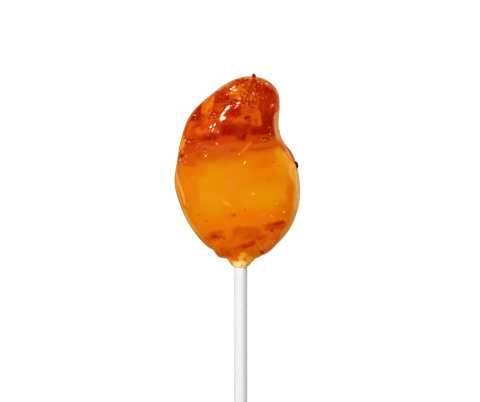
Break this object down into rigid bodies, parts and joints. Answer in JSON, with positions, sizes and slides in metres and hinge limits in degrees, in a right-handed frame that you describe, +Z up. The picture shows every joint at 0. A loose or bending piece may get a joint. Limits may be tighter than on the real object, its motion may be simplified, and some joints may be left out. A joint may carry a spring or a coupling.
{
  "type": "lollipop",
  "caption": "Fruit-shaped boiled-sweet lollipop under a wet chilli glaze, on a white rolled-paper stick, lying on its back with its glazed face up.",
  "frame": {"origin": "on the table, under the middle of the sweet and on the line of the stick", "axes": "+Z up out of the glazed face, +Y along the stick towards the crown of the sweet, +X towards the beak side"},
  "size_m": [0.0325, 0.1134, 0.0119],
  "materials": {
    "candy": "wet, glossy boiled sugar, amber under a red chilli glaze",
    "stick": "matt, white, rolled paper"
  },
  "bodies": {
    "root": {"candy": "candy", "stick": "stick"}
  },
  "joints": []
}
